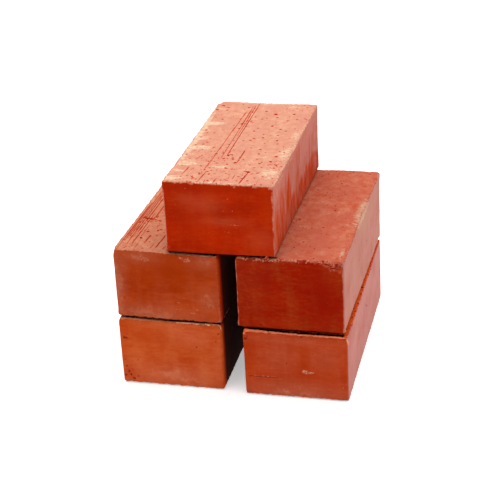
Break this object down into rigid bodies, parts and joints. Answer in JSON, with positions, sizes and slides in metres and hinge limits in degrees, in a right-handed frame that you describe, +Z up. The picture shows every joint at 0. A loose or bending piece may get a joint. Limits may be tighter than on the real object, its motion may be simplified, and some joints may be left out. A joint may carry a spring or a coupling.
{
  "type": "stack of clay bricks",
  "caption": "Loose dry stack of solid wire-cut red clay bricks: side-by-side columns with a narrow gap between them, bridged by a brick laid on top.",
  "frame": {"origin": "bottom centre of the box round the whole stack, on the surface that the lower bricks stand on", "axes": "+Z up; +Y back along the length of the bricks, away from the end faces that are seen; +X across the two columns, towards the lower right brick"},
  "size_m": [0.2388, 0.2394, 0.229],
  "materials": {
    "orange_fired_clay": "matte, unglazed, softer and more orange firing, smooth die skin on the sides, wire-torn beds",
    "brick_red_fired_clay": "matte, unglazed, mid brick red, smooth die skin on the sides, wire-torn beds",
    "dusky_fired_clay": "matte, unglazed, brick red with a dusty rose bloom, smooth die skin on the sides, wire-torn beds",
    "dark_red_fired_clay": "matte, unglazed, harder and darker red firing, smooth die skin on the sides, wire-torn beds",
    "salmon_fired_clay": "matte, unglazed, salmon red with a cream bloom on the bed, smooth die skin on the sides, wire-torn beds"
  },
  "bodies": {
    "lower_left": {"lower_left_brick": "orange_fired_clay"},
    "lower_right": {"lower_right_brick": "brick_red_fired_clay"},
    "upper_left": {"upper_left_brick": "dusky_fired_clay"},
    "upper_right": {"upper_right_brick": "dark_red_fired_clay"},
    "top": {"top_brick": "salmon_fired_clay"}
  },
  "joints": [
    {"name": "lower_right_slide", "type": "slide", "parent": "lower_left", "child": "lower_right", "axis": [1, 0, 0], "range_m": [0, 0.018]},
    {"name": "upper_left_slide", "type": "slide", "parent": "lower_left", "child": "upper_left", "axis": [-0.9996, 0.0279, 0], "range_m": [0, 0.035]},
    {"name": "upper_right_slide", "type": "slide", "parent": "lower_right", "child": "upper_right", "axis": [0.9999, -0.0122, 0], "range_m": [0, 0.018]},
    {"name": "top_brick_lift", "type": "slide", "parent": "lower_left", "child": "top", "axis": [0, 0, 1], "range_m": [0, 0.12]}
  ]
}
